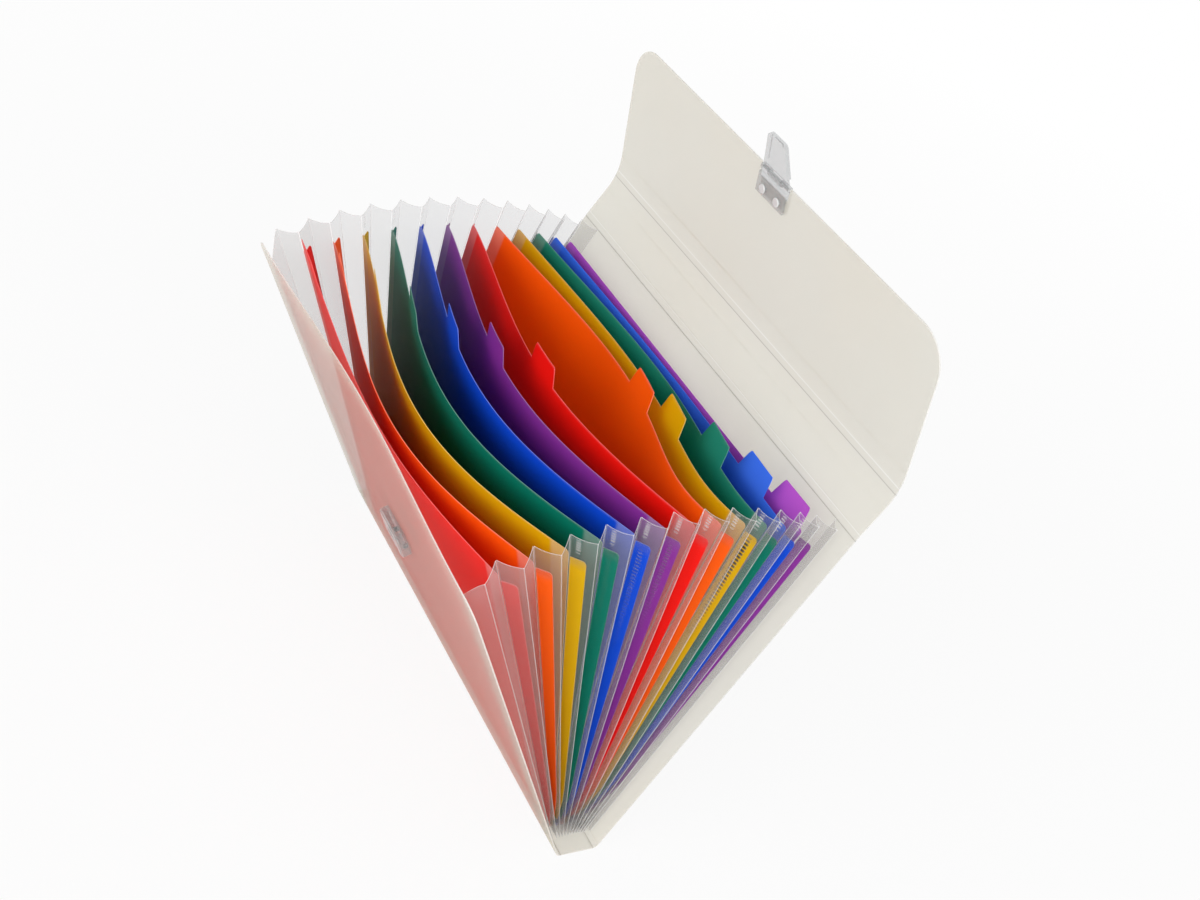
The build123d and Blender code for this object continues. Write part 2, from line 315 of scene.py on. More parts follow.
def shaded_colour(tree, colour, variation, rim_highlight_colour):
    """A colour that drifts a little over the sheet and turns to a painted highlight colour along its cut
    edge and along the stored highlight lines.
    """
    drift = noise(tree, scale=14.0, detail=2.0)
    darker = lifted(colour, gain=1.0 - variation)
    lighter = lifted(colour, gain=1.0 + variation)
    body = mix_colour(tree, drift, (*darker, 1.0), (*lighter, 1.0))
    # The cut edge and the stored lines take the painted highlight colour
    edge = combine(tree, "MAXIMUM", attribute(tree, "rim"), attribute(tree, "beside_rim"))
    return mix_colour(tree, edge, body, (*rim_highlight_colour, 1.0))


def divider_material(name, colour):
    """Coloured sheet: satin and lit through, with a painted highlight along its cut edge, and hazy where
    film laps its ends.

    A painted glow lightens the upper edges and tabs of the last dividers, which stand before the pale cover.
    """
    variation = 0.05
    through_share = 0.3
    material, tree, output = new_tree(name)
    # Painted highlight colour for the cut edge and the line under the upper edge
    pale = lifted(colour, gain=0.82, lift=0.18)
    lit = lifted(colour, gain=0.8, lift=0.2)
    hazy = lifted(colour, gain=0.6, lift=0.26)
    # Painted glow: a brighter copy of the colour for the last dividers' tops, standing in for light through
    # them
    painted_glow_colour = lifted(colour, gain=1.9, lift=0.06)
    sheet = shaded_colour(tree, colour, variation, pale)
    ended = mix_colour(tree, attribute(tree, "lapped"), sheet, (*hazy, 1.0))
    satin = add_node(
        tree,
        "ShaderNodeBsdfPrincipled",
        {
            "Base Color": mix_colour(tree, attribute(tree, "free"), ended, (*painted_glow_colour, 1.0)),
            "Roughness": 0.4,
            "Specular IOR Level": 0.05,
            "Normal": fine_bump(tree, scale=1500.0, depth=0.00012),
        },
    )
    lit_sheet = shaded_colour(tree, lit, variation, pale)
    through = add_node(tree, "ShaderNodeBsdfTranslucent", {"Color": lit_sheet})
    surface = mix_shader(tree, through_share, satin, through)
    tree.links.new(surface.outputs[0], output.inputs["Surface"])
    return material


def cover_material(name, colour):
    """Milky clear sheet: it glows, and shows what is behind it through soft clouds of a warmer tint.

    Its cut edge carries a painted highlight. Of a crease's two scored lines, one is darkened by painted
    shade in its groove and the other lightened by a painted highlight.
    """
    # Painted highlight colour for the cut edge and for one scored line of each crease
    painted_highlight = linear(252, 252, 250)
    warm_tint = (1.0, 0.95, 0.89)
    pass_colour = (0.97, 0.97, 0.96, 1.0)
    through_share = 0.55
    material, tree, output = new_tree(name)
    plain = shaded_colour(tree, colour, variation=0.02, rim_highlight_colour=painted_highlight)
    warmth = map_range(tree, noise(tree, scale=9.0, detail=1.0), low=0.0, high=0.35, start=0.4, end=0.7)
    warm = tuple(value * share for value, share in zip(colour, warm_tint))
    base = mix_colour(tree, warmth, plain, (*warm, 1.0))
    # Painted shade in the groove of a crease's other scored line
    painted_groove_shade = lifted(colour, gain=0.55)
    scored = mix_colour(tree, attribute(tree, "score"), base, (*painted_groove_shade, 1.0))
    satin = add_node(
        tree,
        "ShaderNodeBsdfPrincipled",
        {
            "Base Color": scored,
            "Roughness": 0.42,
            "Specular IOR Level": 0.3,
            "Normal": fine_bump(tree, scale=1300.0, depth=0.00015),
        },
    )
    through = add_node(tree, "ShaderNodeBsdfTranslucent", {"Color": scored})
    milky = mix_shader(tree, through_share, satin, through)
    straight = add_node(tree, "ShaderNodeBsdfTransparent", {"Color": pass_colour})
    clear = map_range(tree, attribute(tree, "rim"), low=0.52, high=0.2)
    surface = mix_shader(tree, clear, milky, straight)
    tree.links.new(surface.outputs[0], output.inputs["Surface"])
    return material


def film_material(name, colour):
    """Clear film: a faint haze, clearer where it is welded, with painted highlights in white along its folds
    and its cut edge.

    The weld's pale marks, and the painted shade in its teeth, are dashes, one above the other up the film.
    """
    dash_count = 135.0
    dash_share = 0.55
    # Painted shade: near black, for the shade in the weld's teeth
    painted_shade_colour = (0.01, 0.01, 0.01, 1.0)
    line_strength = 0.68
    pass_colour = (0.96, 0.96, 0.963, 1.0)
    through_share = 0.5
    material, tree, output = new_tree(name)
    welded = attribute(tree, "welded")
    map_place = add_node(tree, "ShaderNodeUVMap", uv_map="UVMap").outputs["UV"]
    up = add_node(tree, "ShaderNodeSeparateXYZ", {0: map_place}).outputs["Y"]
    count = combine(tree, "MULTIPLY", up, dash_count)
    beat = add_node(tree, "ShaderNodeMath", {0: count}, operation="FRACT").outputs[0]
    dash = combine(tree, "LESS_THAN", beat, dash_share)
    seam = combine(tree, "MULTIPLY", dash, attribute(tree, "weld"))
    # Painted highlights along the folds and the cut edge
    fold = combine(tree, "MAXIMUM", attribute(tree, "whitening"), attribute(tree, "rim"))
    # The white lines: painted highlights together with the weld's own pale dashes
    line = combine(tree, "MAXIMUM", fold, seam)
    pale = mix_colour(tree, line, (*colour, 1.0), WHITE)
    # Painted shade in the weld's teeth, as dark dashes
    tick_shade = combine(tree, "MULTIPLY", dash, attribute(tree, "tick"))
    tint = mix_colour(tree, tick_shade, pale, painted_shade_colour)
    facing = add_node(tree, "ShaderNodeLayerWeight", {"Blend": 0.35}).outputs["Facing"]
    haze = map_range(tree, facing, low=0.08, high=0.17)
    thin = map_range(tree, welded, low=1.0, high=0.1, clamp=False)
    veil = combine(tree, "MULTIPLY", haze, thin)
    strong = combine(tree, "MULTIPLY", line, line_strength)
    lined = combine(tree, "MAXIMUM", veil, strong)
    alpha = combine(tree, "MAXIMUM", lined, tick_shade)
    skin = add_node(
        tree,
        "ShaderNodeBsdfPrincipled",
        {"Base Color": tint, "Roughness": 0.2, "Normal": fine_bump(tree, scale=160.0, depth=0.00002)},
    )
    passed = mix_colour(tree, welded, pass_colour, WHITE)
    straight = add_node(tree, "ShaderNodeBsdfTransparent", {"Color": passed})
    through = add_node(tree, "ShaderNodeBsdfTranslucent", {"Color": tint})
    hazy_skin = mix_shader(tree, through_share, skin, through)
    surface = mix_shader(tree, alpha, straight, hazy_skin)
    tree.links.new(surface.outputs[0], output.inputs["Surface"])
    return material


def moulding_material(name, colour):
    """Clear moulded plastic: glossy, rippled a little by its mould, and brighter where seen edge-on."""
    thick_tint = (0.7, 0.705, 0.71, 1.0)
    material, tree, output = new_tree(name)
    facing = add_node(tree, "ShaderNodeLayerWeight", {"Blend": 0.4}).outputs["Facing"]
    body = map_range(tree, facing, low=0.12, high=0.4)
    gloss = add_node(
        tree,
        "ShaderNodeBsdfPrincipled",
        {
            "Base Color": shaded_colour(tree, colour, variation=0.04, rim_highlight_colour=colour),
            "Roughness": 0.1,
            "IOR": 1.49,
            "Normal": fine_bump(tree, scale=420.0, depth=0.00008),
        },
    )
    passed = mix_colour(tree, facing, thick_tint, WHITE)
    straight = add_node(tree, "ShaderNodeBsdfTransparent", {"Color": passed})
    surface = mix_shader(tree, body, straight, gloss)
    tree.links.new(surface.outputs[0], output.inputs["Surface"])
    return material


def rivet_material(name, colour):
    """Milky plastic of the rivets and the pin, with the flow marks of their heated heads."""
    material, tree, output = new_tree(name)
    surface = add_node(
        tree,
        "ShaderNodeBsdfPrincipled",
        {
            "Base Color": shaded_colour(tree, colour, variation=0.06, rim_highlight_colour=colour),
            "Roughness": 0.16,
            "Normal": fine_bump(tree, scale=900.0, depth=0.0001),
        },
    )
    tree.links.new(surface.outputs[0], output.inputs["Surface"])
    return material


def closed_sheet(middle, thickness, **attributes):
    """A sheet about a middle surface: a skin half a thickness out on each side, and faces round the rim.

    The surface's normal is the cross product of its steps along the rows and along the columns.
    """
    rows, columns = middle.shape[:2]
    normal = np.cross(np.gradient(middle, axis=1), np.gradient(middle, axis=0))
    normal /= np.linalg.norm(normal, axis=2, keepdims=True)
    half = normal * thickness / 2.0
    points = np.concatenate([(middle - half).reshape(-1, 3), (middle + half).reshape(-1, 3)])
    index = np.arange(rows * columns).reshape(rows, columns)
    corners = [index[:-1, :-1], index[:-1, 1:], index[1:, 1:], index[1:, :-1]]
    quads = np.stack(corners, axis=-1).reshape(-1, 4)
    border = np.concatenate([index[0, :-1], index[:-1, -1], index[-1, :0:-1], index[:0:-1, 0]])
    after = np.roll(border, -1)
    far_skin = rows * columns
    edge = np.stack([border, after, after + far_skin, border + far_skin], axis=-1)
    up, over = np.meshgrid(np.linspace(0.0, 1.0, rows), np.linspace(0.0, 1.0, columns), indexing="ij")
    return {
        "points": points,
        "faces": np.concatenate([quads[:, ::-1], quads + far_skin, edge]),
        "rim": np.concatenate([np.zeros(2 * len(quads)), np.ones(len(edge))]),
        "uv": np.tile(np.stack([over, up], axis=-1).reshape(-1, 2), (2, 1)),
        "attributes": {name: np.tile(value.reshape(-1), 2) for name, value in attributes.items()},
    }


def sheet_object(name, patches, material):
    """One mesh object made of closed sheets, with their rims, their UV map and their attributes."""
    sizes = [len(patch["points"]) for patch in patches]
    starts = np.cumsum([0, *sizes[:-1]])
    faces = np.concatenate([patch["faces"] + start for patch, start in zip(patches, starts)])
    mesh = bpy.data.meshes.new(name)
    mesh.from_pydata(np.concatenate([patch["points"] for patch in patches]).tolist(), [], faces.tolist())
    uv = np.concatenate([patch["uv"] for patch in patches])
    mesh.uv_layers.new(name="UVMap").data.foreach_set("uv", uv[faces.reshape(-1)].reshape(-1))
    rim = np.concatenate([patch["rim"] for patch in patches])
    mesh.attributes.new("rim", "FLOAT", "FACE").data.foreach_set("value", rim)
    for key in patches[0]["attributes"]:
        values = np.concatenate([patch["attributes"][key] for patch in patches])
        mesh.attributes.new(key, "FLOAT", "POINT").data.foreach_set("value", values)
    mesh.polygons.foreach_set("use_smooth", np.ones(len(faces), bool))
    mesh.set_sharp_from_angle(angle=SHARP_ANGLE)
    mesh.materials.append(material)
    piece = bpy.data.objects.new(name, mesh)
    bpy.context.scene.collection.objects.link(piece)
    return piece


def places_across(half_width, step_count, *fine):
    """Places across a sheet: even steps, joined by closer ones round each (middle, reach, count)."""
    parts = [np.linspace(-half_width, half_width, step_count)]
    parts += [middle + np.linspace(-span, span, count) for middle, span, count in fine]
    places = np.unique(np.round(np.concatenate(parts), 6))
    return places[np.abs(places) <= half_width]


def corner_places(half_width, radius, count=10):
    """Places across a round corner, closer towards the side, on both sides of the sheet."""
    arc = half_width - radius + radius * np.sin(np.linspace(0.0, math.pi / 2.0, count))
    return np.concatenate([-arc, arc])


def rounded_top(x, half_width, height, radius):
    """Height of a sheet's upper edge: level, with a quarter circle down at each corner."""
    past = np.clip(np.abs(x) - (half_width - radius), 0.0, radius)
    return height - radius + np.sqrt(radius**2 - past**2)


def soft_least(first, second, width):
    """The lesser of two values, rounded where they come within a width of each other."""
    near = np.clip(1.0 - np.abs(first - second) / width, 0.0, 1.0)
    return np.minimum(first, second) - near**2 * width / 4.0


def soft_line(distance, width, power=2):
    """One on a line, fading as the exponential of minus a power of the distance over the width."""
    return np.exp(-((distance / width) ** power))


def on_leaf(leaf, x, height, offset):
    """Points across, up and to the back of a leaf's frame."""
    origin, up, back = leaf
    return origin + x[..., None] * ACROSS + height[..., None] * up + offset[..., None] * back


def settings():
    """The sizes and the colours held by the scene."""
    return bpy.context.scene.expanding_file_sizes, bpy.context.scene.expanding_file_colours


class EXPANDING_FILE_OT_cover(bpy.types.Operator):
    """Make the five panels of the cover and the scored bands between them"""

    bl_idname = "expanding_file.cover"
    bl_label = "Make the cover"

    # Height above which the front cover sags
    sag_start = 0.15
    # Steps across a panel, and closer ones over the steep sides of the notch
    panel_steps = 67
    notch_steps = 9
    notch_reach = 0.0012
    notch_side = 0.0006
    # Length of a step over a crease, and half the width of a scored line
    crease_step = 0.0002
    score_width = 0.0003

    def execute(self, context):
        sizes, colours = settings()
        cover = cover_material("frosted_cover", tuple(colours.cover))
        half = reach("bottom_strip", np.zeros(3), ACROSS)
        fold = sizes.fold_band / 2.0
        bend = sizes.bend_band / 2.0
        front = leaf_frame("front_cover")
        back = leaf_frame("back_cover")
        strip = panel_frame("top_strip_crease", "flap_crease")
        flap = panel_frame("flap_crease", "clip_lever_hinge")
        front_top = reach("front_cover", front[0], front[1])
        back_top = float(np.linalg.norm(strip[0] - back[0]))
        strip_top = float(np.linalg.norm(flap[0] - strip[0]))
        flap_top = reach("flap", flap[0], flap[1])
        notch_half = sizes.notch_width / 2.0

        def front_edge(x):
            return rounded_top(x, half, front_top, sizes.front_corner)

        def flap_edge(x):
            inside = np.clip((notch_half - np.abs(x)) / self.notch_side, 0.0, 1.0)
            return rounded_top(x, half, flap_top, sizes.flap_corner) - sizes.notch_depth * inside

        def level(height):
            return lambda x: np.full_like(x, height)

        even = places_across(half, self.panel_steps)
        front_x = np.unique(np.concatenate([even, corner_places(half, sizes.front_corner)]))
        notch_sides = [(side * notch_half, self.notch_reach, self.notch_steps) for side in (-1.0, 1.0)]
        notched = places_across(half, self.panel_steps, *notch_sides)
        flap_x = np.unique(np.concatenate([notched, corner_places(half, sizes.flap_corner)]))
        floor_line = np.array((0.0, front[0][1], front[0][2]))
        floor = (floor_line, np.array((0.0, 1.0, 0.0)), np.array((0.0, 0.0, -1.0)))
        floor_top = back[0][1] - front[0][1]
        # Each panel's node, body, frame, lower edge, upper edge, places across, rows and sag
        panels = (
            ("bottom_strip", "base", floor, fold, level(floor_top - fold), even, 6, 0.0),
            ("front_cover", "front_cover", front, fold, front_edge, front_x, 40, sizes.front_sag),
            ("back_cover", "back_cover", back, fold, level(back_top - fold), even, 30, 0.0),
            ("top_strip", "top_strip", strip, fold, level(strip_top - bend), even, 8, 0.0),
            ("flap", "flap", flap, bend, flap_edge, flap_x, 20, 0.0),
        )
        for node, body, leaf, low, top, x, rows, sag in panels:
            piece = self.panel(f"{node}_sheet", leaf, low, top, x, rows, cover, sag)
            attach(piece, body)
            if sag:
                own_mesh(piece)
            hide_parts(node)
        # Each crease's name, the bodies on its two sides, its line, its two directions and half its length
        creases = (
            ("front_fold", "base", "front_cover", front[0], -floor[1], front[1], fold),
            ("back_fold", "base", "back_cover", back[0], floor[1], back[1], fold),
            ("strip_crease", "back_cover", "top_strip", strip[0], back[1], strip[1], fold),
            ("flap_bend", "top_strip", "flap", flap[0], strip[1], flap[1], bend),
        )
        for crease in creases:
            self.crease(*crease, even, cover)
        return {"FINISHED"}

    def panel(self, name, leaf, low, top, x, rows, material, sag):
        """A panel of the cover from a level lower edge to the given upper edge.

        It sags to the back with the square of its height above a level and of the cosine across its width.
        """
        sizes, _ = settings()
        share, over = np.meshgrid(np.linspace(0.0, 1.0, rows), x, indexing="ij")
        height = low + share * (top(over) - low)
        above = np.clip((height - self.sag_start) / (height.max() - self.sag_start), 0.0, 1.0)
        offset = sag * above**2 * np.cos(math.pi * over / (x[-1] - x[0])) ** 2
        middle = on_leaf(leaf, over, height, offset)
        return sheet_object(name, [closed_sheet(middle, sizes.cover_thickness)], material)

    def crease(self, name, body, next_body, middle, before, after, half_band, x, material):
        """A band that bends from one panel to the next along a curve, with two scored lines: painted shade
        darkens one, a painted highlight lightens the other.

        The curve is a quadratic one, whose middle control point lies on the fold line.
        """
        sizes, _ = settings()
        rows = 2 * int(half_band / self.crease_step) + 1
        share, over = np.meshgrid(np.linspace(0.0, 1.0, rows), x, indexing="ij")
        start = middle - before * half_band
        end = middle + after * half_band
        past = (2.0 * share - 1.0) * half_band
        # Painted shade on the scored line nearer the first panel, a painted highlight on the one nearer the
        # next
        painted_groove_shade = soft_line(past + sizes.score_gap / 2.0, self.score_width)
        painted_highlight = soft_line(past - sizes.score_gap / 2.0, self.score_width)
        along = share[..., None]
        path = (1.0 - along) ** 2 * start + 2.0 * along * (1.0 - along) * middle + along**2 * end
        surface = path + over[..., None] * ACROSS
        patch = closed_sheet(surface, sizes.cover_thickness, score=painted_groove_shade, beside_rim=painted_highlight)
        piece = sheet_object(name, [patch], material)
        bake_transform(piece)


def pleat_frame(pocket, side):
    """A pleat's two leaves and the places across of its folds and its ridge, on one side of the file."""
    sizes, _ = settings()
    end = "left" if side < 0 else "right"
    node = f"{end}_pleat_{pocket:02d}"
    ridge = reach(node, np.zeros(3), side * ACROSS)
    fold = ridge - sizes.pleat_depth
    return leaf_frame(LEAVES[pocket - 1]), leaf_frame(LEAVES[pocket]), side * fold, side * ridge, node


def pleat_lines(pocket, side, height):
    """The front fold, the ridge and the back fold of a pleat at the given heights.

    The folds lie along the ends of the two leaves. The ridge stands out half way between them.
    """
    sizes, _ = settings()
    front, back, fold, ridge, _ = pleat_frame(pocket, side)
    gap = sizes.film_thickness
    front_gap = gap + (sizes.cover_thickness / 2.0 if pocket == 1 else 0.0)
    back_gap = gap + (sizes.cover_thickness / 2.0 if pocket == len(LEAVES) - 1 else 0.0)
    front_line = on_leaf(front, np.full_like(height, fold), height, np.full_like(height, front_gap))
    back_line = on_leaf(back, np.full_like(height, fold), height, np.full_like(height, -back_gap))
    ridge_line = (front_line + back_line) / 2.0
    ridge_line[..., 0] = ridge
    return front_line, ridge_line, back_line


class EXPANDING_FILE_OT_dividers(bpy.types.Operator):
    """Make the twelve bowed dividers with their index tabs and weld flanges"""

    bl_idname = "expanding_file.dividers"
    bl_label = "Make the dividers"

    # How far each divider bows at its top, in metres: to the front in its middle, and near its right end
    middle_bow = (0.0142, 0.026, 0.030, 0.031, 0.030, 0.029, 0.0265, -0.016, -0.011, -0.014, -0.007, 0.0)
    end_bow = (0.0, 0.0, 0.0, 0.0, 0.0, 0.0, 0.0, 0.015, 0.013, 0.010, 0.002, 0.0)
    # Powers that set a bow's crest across the sheet and its rise up the sheet
    middle_power = 1.25
    end_power = 4
    rise_power = 1.15
    # Steps across a plate, closer ones over the tab's sides, and steps beside the film and round a corner
    plate_steps = 59
    tab_steps = 17
    tab_reach = 0.004
    tab_inset = 0.001
    lap_step = 0.001
    corner_steps = 5
    # Room between a plate and its film's fold, and the rounding of its corners and its tab
    fold_room = 0.001
    plate_corner = 0.002
    tab_round = 0.004
    # Strength and width of the painted highlight line under the upper edge, and of the haze where film laps
    top_highlight_strength = 0.6
    edge_width = 0.0007
    lap_strength = 0.75
    lap_fade = 0.0015
    # How many of the last dividers get a painted glow, over how many it fades in, and how far down it goes
    painted_glow_count = 3.5
    painted_glow_fade = 1.5
    painted_glow_depth = 0.012
    # Grid of a flange, its round tip, its gap to the film, and its narrow foot
    flange_rows = 21
    flange_columns = 9
    tip_share = 0.2
    tip_round = 0.002
    weld_gap = 0.0001
    foot_share = 0.45
    foot_height = 0.026

    def execute(self, context):
        _, colours = settings()
        materials = {}
        for name in SHEET_COLOURS:
            materials[name] = divider_material(f"{name}_divider", getattr(colours, name))
        for place, body in enumerate(DIVIDERS):
            name = SHEET_COLOURS[place % len(SHEET_COLOURS)]
            piece = self.divider(place, body, materials[name])
            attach(piece, body)
            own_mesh(piece)
            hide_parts(body)
        return {"FINISHED"}

    def divider(self, place, body, material):
        """A plate with a tab on its upper edge, bowed between its ends, and a flange behind each end.

        A bow is half a sine wave across the sheet that grows with a power of the height.
        """
        sizes, _ = settings()
        leaf = leaf_frame(body)
        _, _, fold, _, _ = pleat_frame(place + 2, 1.0)
        half = fold - self.fold_room
        full = reach(body, leaf[0], leaf[1])
        height = full - sizes.tab_height
        pitch = (2.0 * (half - sizes.tab_margin) - sizes.tab_width) / (len(DIVIDERS) - 1)
        tab_x = (place - (len(DIVIDERS) - 1) / 2.0) * pitch
        foot = sizes.tab_width / 2.0
        tab_side = foot - self.tab_inset
        tab_sides = [(tab_x + side * tab_side, self.tab_reach, self.tab_steps) for side in (-1.0, 1.0)]
        even = places_across(half, self.plate_steps, *tab_sides)
        lap = half - sizes.film_lap + self.lap_step * np.array((-1.0, 0.0, 1.0))
        corners = corner_places(half, self.plate_corner, self.corner_steps)
        x = np.unique(np.concatenate([even, corners, -lap, lap]))
        upper_rows = (0.992, 0.996, 0.998, 1.0)
        rows = np.concatenate([np.linspace(0.0, 0.93, 22), np.linspace(0.94, 0.985, 7), upper_rows])
        share, over = np.meshgrid(rows, x, indexing="ij")
        slant = (foot - np.abs(over - tab_x)) * sizes.tab_height / sizes.tab_slope
        tab = soft_least(np.maximum(slant, 0.0), np.full_like(slant, sizes.tab_height), self.tab_round)
        top = rounded_top(over, half, height, self.plate_corner) + np.maximum(tab, 0.0)
        up = share * top
        along = (over + half) / (2.0 * half)
        bow = self.middle_bow[place] * np.sin(math.pi * along**self.middle_power)
        bow = bow + self.end_bow[place] * np.sin(math.pi * along**self.end_power)
        rise = np.clip(up / height, 0.0, None) ** self.rise_power
        surface = on_leaf(leaf, over, up, -bow * rise)
        # Painted highlight: a pale line just under the upper edge
        top_highlight = self.top_highlight_strength * soft_line(top - up, self.edge_width)
        past_lap = np.abs(over) - half + sizes.film_lap
        lapped = self.lap_strength * np.clip(past_lap / self.lap_fade + 0.5, 0.0, 1.0)
        # Painted glow over the upper edge and the tab of the last dividers
        painted_glow_share = np.clip((place - len(DIVIDERS) + self.painted_glow_count) / self.painted_glow_fade, 0.0, 1.0)
        free = painted_glow_share * np.clip((up - height) / self.painted_glow_depth + 1.0, 0.0, 1.0)
        plate = closed_sheet(surface, sizes.divider_thickness, beside_rim=top_highlight, lapped=lapped, free=free)
        flanges = [self.flange(place, side) for side in (-1.0, 1.0)]
        return sheet_object(f"{body}_sheet", [plate, *flanges], material)

    def flange(self, place, side):
        """A strip that leaves the divider's end and follows the inside of the next pleat's front panel.

        It narrows towards its lower end, where the pleat has little room.
        """
        sizes, _ = settings()
        rows = np.linspace(0.0, 1.0, self.flange_rows)
        columns = np.linspace(0.0, 1.0, self.flange_columns)
        share, out = np.meshgrid(rows, columns, indexing="ij")
        round_off = self.tip_round * np.clip((out - 1.0 + self.tip_share) / self.tip_share, 0.0, 1.0) ** 2
        height = FLANGE_LOW + share * (FLANGE_HIGH - round_off - FLANGE_LOW)
        front, ridge, _ = pleat_lines(place + 2, side, height)
        panel = ridge - front
        _, up, back = leaf_frame(DIVIDERS[place])
        inward = np.cross(panel, up)
        inward /= np.linalg.norm(inward, axis=-1, keepdims=True)
        inward *= np.sign(inward @ back)[..., None]
        room = sizes.film_thickness / 2.0 + self.weld_gap + sizes.divider_thickness / 2.0
        widening = np.clip((height - FLANGE_LOW) / self.foot_height, 0.0, 1.0)
        taper = self.foot_share + (1.0 - self.foot_share) * widening
        middle = front + panel * (out * taper * sizes.flange_share)[..., None] + inward * room
        plain = np.zeros_like(height)
        return closed_sheet(middle, sizes.divider_thickness, beside_rim=plain, lapped=plain, free=plain)


class EXPANDING_FILE_OT_film(bpy.types.Operator):
    """Make the pleated film at both ends, one pleat for each pocket"""

    bl_idname = "expanding_file.film"
    bl_label = "Make the side film"

    # How dark the painted shade in the weld's teeth looks on each pleat's flange
    tick_shade_strength = (0.0, 0.0, 0.0, 0.0, 0.06, 0.22, 0.22, 0.0, 0.0, 0.9, 0.0, 0.0, 0.0)
    # Heights of the film's edges, and its grid: even rows and columns, closer at the top and by the folds
    low = 0.005
    high = 0.244
    even_rows = 33
    top_rows = 9
    top_band = 0.002
    even_columns = 25
    fold_columns = 5
    fold_start = 0.008
    fold_end = 0.06
    # Sag of the upper edge and the dip of the first pleat's, with the powers that shape them
    edge_sag = 0.0013
    edge_power = 0.8
    front_dip = 0.014
    dip_power = 1.5
    rise_power = 8
    # Painted highlights of the ridge, the folds and the upper edge, and the widths of these lines
    ridge_highlight = 0.8
    fold_highlight = 0.5
    edge_highlight = 0.6
    fold_width = 0.0003
    edge_width = 0.0004
    # The weld's seam on the front panel, its first pocket, and the heights of its pale marks and of the
    # painted shade in its teeth
    seam_place = 0.3
    seam_width = 0.0015
    seam_power = 6
    first_marked = 4
    pale_strength = 0.6
    pale_low = 0.229
    pale_high = 0.242
    dark_low = 0.15
    dark_fade = 0.07
    # First pocket whose film is clear on its flange, and the extra haze of those before it
    first_clear = 3
    front_haze = 0.9

    def execute(self, context):
        _, colours = settings()
        material = film_material("clear_film", tuple(colours.film))
        for pocket in range(1, len(LEAVES)):
            for side in (-1.0, 1.0):
                self.pleat(pocket, side, material)
        return {"FINISHED"}

    def pleat(self, pocket, side, material):
        """A V of film from the front leaf's end out to the ridge and back in to the next leaf's end.

        Its upper edge sags a little between a fold and the ridge, as a power of a sine. In the first pocket
        it also dips towards the front cover.
        """
        sizes, _ = settings()
        front, back, _, _, node = pleat_frame(pocket, side)
        top = self.high - np.linspace(0.0, self.top_band, self.top_rows)
        heights = np.unique(np.concatenate([np.linspace(self.low, self.high, self.even_rows), top]))
        near = np.geomspace(self.fold_start, self.fold_end, self.fold_columns)
        out = np.unique(np.concatenate([np.linspace(0.0, 1.0, self.even_columns), near, 1.0 - near]))
        across = np.concatenate([out, 2.0 - out[-2::-1]])
        level, place = np.meshgrid(heights, across, indexing="ij")
        sag = self.edge_sag * np.abs(np.sin(math.pi * place)) ** self.edge_power
        if pocket == 1:
            sag = sag + self.front_dip * np.clip(1.0 - place, 0.0, 1.0) ** self.dip_power
        height = level - sag * ((level - self.low) / (self.high - self.low)) ** self.rise_power
        front_line, ridge_line, back_line = pleat_lines(pocket, side, height)
        panel = np.where((place <= 1.0)[..., None], front_line, back_line)
        to_ridge = np.where(place <= 1.0, place, 2.0 - place)
        middle = panel + (ridge_line - panel) * to_ridge[..., None]
        width = np.linalg.norm(ridge_line - front_line, axis=-1)
        # Painted highlights along the ridge, the folds and the upper edge
        whitening = (
            self.ridge_highlight * soft_line((1.0 - to_ridge) * width, self.fold_width)
            + self.fold_highlight * soft_line(to_ridge * width, self.fold_width)
            + self.edge_highlight * soft_line(self.high - level, self.edge_width)
        )
        marked = float(pocket >= self.first_marked)
        seam = marked * soft_line((place - self.seam_place) * width, self.seam_width, self.seam_power)
        above = seam * (height > self.pale_low) * (height < self.pale_high)
        # Painted shade in the weld's teeth, fading out downwards and stopping at the flange's top
        tick_shade_mask = seam * np.clip((height - self.dark_low) / self.dark_fade, 0.0, 1.0) * (height < FLANGE_HIGH)
        clear = pocket >= self.first_clear
        on_flange = (place <= sizes.flange_share) & (height > FLANGE_LOW) & (height < FLANGE_HIGH) & clear
        patch = closed_sheet(
            middle,
            sizes.film_thickness,
            whitening=np.clip(whitening, 0.0, 1.0),
            welded=on_flange - self.front_haze * np.full_like(place, not clear),
            weld=self.pale_strength * above,
            tick=self.tick_shade_strength[pocket - 1] * tick_shade_mask,
        )
        piece = sheet_object(f"{node}_film", [patch], material)
        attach(piece, LEAVES[pocket])
        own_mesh(piece)
        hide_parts(node)


class EXPANDING_FILE_OT_fittings(bpy.types.Operator):
    """Give the catch, the clip and their rivets their finish"""

    bl_idname = "expanding_file.fittings"
    bl_label = "Finish the clip and the catch"

    rivet_shade = 0.78

    def execute(self, context):
        _, colours = settings()
        clear = moulding_material("clear_moulding", tuple(colours.moulding))
        milky = rivet_material("milky_moulding", lifted(colours.moulding, gain=self.rivet_shade))
        finishes = {
            "catch": clear,
            "clip_base": clear,
            "clip_lever": clear,
            "catch_rivets": milky,
            "clip_rivets": milky,
            "clip_pin": milky,
        }
        for node, material in finishes.items():
            mesh = frame["nodes"][node].data
            mesh.materials.clear()
            mesh.materials.append(material)
        return {"FINISHED"}


